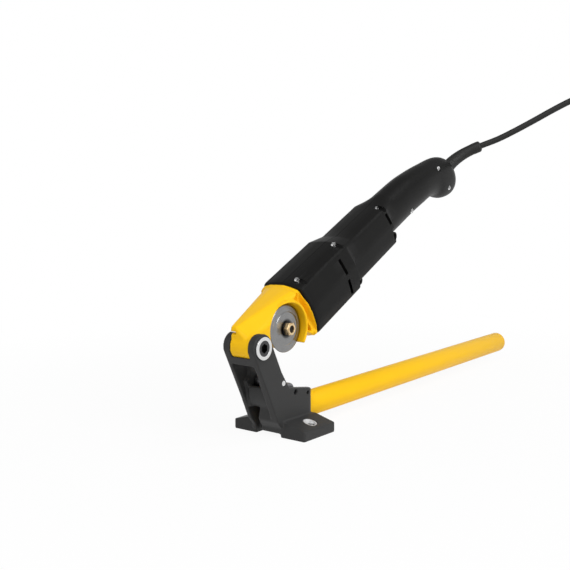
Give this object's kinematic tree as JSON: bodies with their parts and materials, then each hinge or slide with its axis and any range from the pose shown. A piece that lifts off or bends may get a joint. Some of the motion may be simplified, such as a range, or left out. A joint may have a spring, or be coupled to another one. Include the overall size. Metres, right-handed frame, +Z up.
{
  "type": "electric pipe cutter",
  "caption": "Electric pipe cutter: a motor lever with a driven cutter wheel swings on a cast bench stand with support rollers, a holding tube and a power lead.",
  "frame": {"origin": "middle of the two bench holes, on the underside of the foot", "axes": "+X to the side of the cutter wheel, +Y along the holding tube, +Z up"},
  "size_m": [0.2515, 0.6986, 0.3558],
  "materials": {
    "black_coat": "satin black coating on a casting",
    "yellow_coat": "semi-gloss yellow coating",
    "housing_plastic": "fine-grained black moulding",
    "bright_steel": "bright machined steel",
    "dark_steel": "blackened steel",
    "bronze": "yellow chromated or bronze",
    "copper": "copper",
    "black_rubber": "matt black rubber"
  },
  "bodies": {
    "base": {"stand": "black_coat", "pivot_sleeve": "bright_steel", "pivot_screw": "dark_steel", "pivot_nut": "dark_steel", "front_axle": "bright_steel", "low_axle": "bright_steel", "roller_spacers": "bright_steel", "tube_set_screw": "dark_steel", "holding_tube": "yellow_coat", "tube_end_cap": "yellow_coat", "power_cord": "black_rubber", "cord_coil": "black_rubber", "cord_tail": "black_rubber", "coil_tie": "housing_plastic", "plug": "black_rubber"},
    "lever": {"gear_head": "yellow_coat", "gear_cover": "yellow_coat", "cover_screws": "bright_steel", "stop_pin": "bright_steel", "spindle_bush": "bronze", "housing_near": "housing_plastic", "housing_far": "housing_plastic", "housing_screws": "bright_steel", "stator": "dark_steel", "front_bearing": "bright_steel", "rear_bearing": "bright_steel", "brush_holders": "bronze", "ring_gear": "dark_steel", "switch_body": "housing_plastic", "bend_relief": "black_rubber", "trigger_pin": "bright_steel"},
    "wheel": {"spindle": "bright_steel", "cutter_wheel": "bright_steel", "wheel_washer": "dark_steel", "wheel_nut": "bronze", "crown_gear": "dark_steel"},
    "armature": {"motor_shaft": "bright_steel", "armature_core": "dark_steel", "commutator": "copper", "fan": "housing_plastic"},
    "reduction": {"pinion_carrier": "bright_steel"},
    "switch_trigger": {"trigger": "housing_plastic"},
    "front_roller_near": {"roller_front_near": "dark_steel"},
    "front_roller_far": {"roller_front_far": "dark_steel"},
    "low_roller_near": {"roller_low_near": "dark_steel"},
    "low_roller_far": {"roller_low_far": "dark_steel"}
  },
  "joints": [
    {"name": "lever_swing", "type": "hinge", "parent": "base", "child": "lever", "pos_m": [0, -0.054, 0.0895], "axis": [1, 0, 0], "range_deg": [-22, 30], "deforming": ["power_cord"]},
    {"name": "wheel_spin", "type": "hinge", "parent": "lever", "child": "wheel", "pos_m": [0, 0.00201, 0.09918], "axis": [1, 0, 0], "continuous": true},
    {"name": "armature_spin", "type": "hinge", "parent": "lever", "child": "armature", "pos_m": [-0.018, 0.08819, 0.14085], "axis": [0, 0.891, 0.454], "continuous": true},
    {"name": "reduction_spin", "type": "hinge", "parent": "lever", "child": "reduction", "pos_m": [-0.018, 0.02225, 0.10725], "axis": [0, 0.891, 0.454], "continuous": true},
    {"name": "trigger_press", "type": "hinge", "parent": "lever", "child": "switch_trigger", "pos_m": [-0.018, 0.22622, 0.19154], "axis": [1, 0, 0], "range_deg": [0, 3.7], "stiffness_Nm_per_rad": 2, "springref_deg": -8.59},
    {"name": "front_roller_near_spin", "type": "hinge", "parent": "base", "child": "front_roller_near", "pos_m": [0, -0.024, 0.0524], "axis": [1, 0, 0], "continuous": true},
    {"name": "front_roller_far_spin", "type": "hinge", "parent": "base", "child": "front_roller_far", "pos_m": [0, -0.024, 0.0524], "axis": [1, 0, 0], "continuous": true},
    {"name": "low_roller_near_spin", "type": "hinge", "parent": "base", "child": "low_roller_near", "pos_m": [0, -0.0056, 0.0408], "axis": [1, 0, 0], "continuous": true},
    {"name": "low_roller_far_spin", "type": "hinge", "parent": "base", "child": "low_roller_far", "pos_m": [0, -0.0056, 0.0408], "axis": [1, 0, 0], "continuous": true}
  ],
  "couplings": [
    {"joint": "reduction_spin", "follows": "armature_spin", "ratio": 0.025},
    {"joint": "wheel_spin", "follows": "armature_spin", "ratio": 0.0104}
  ]
}
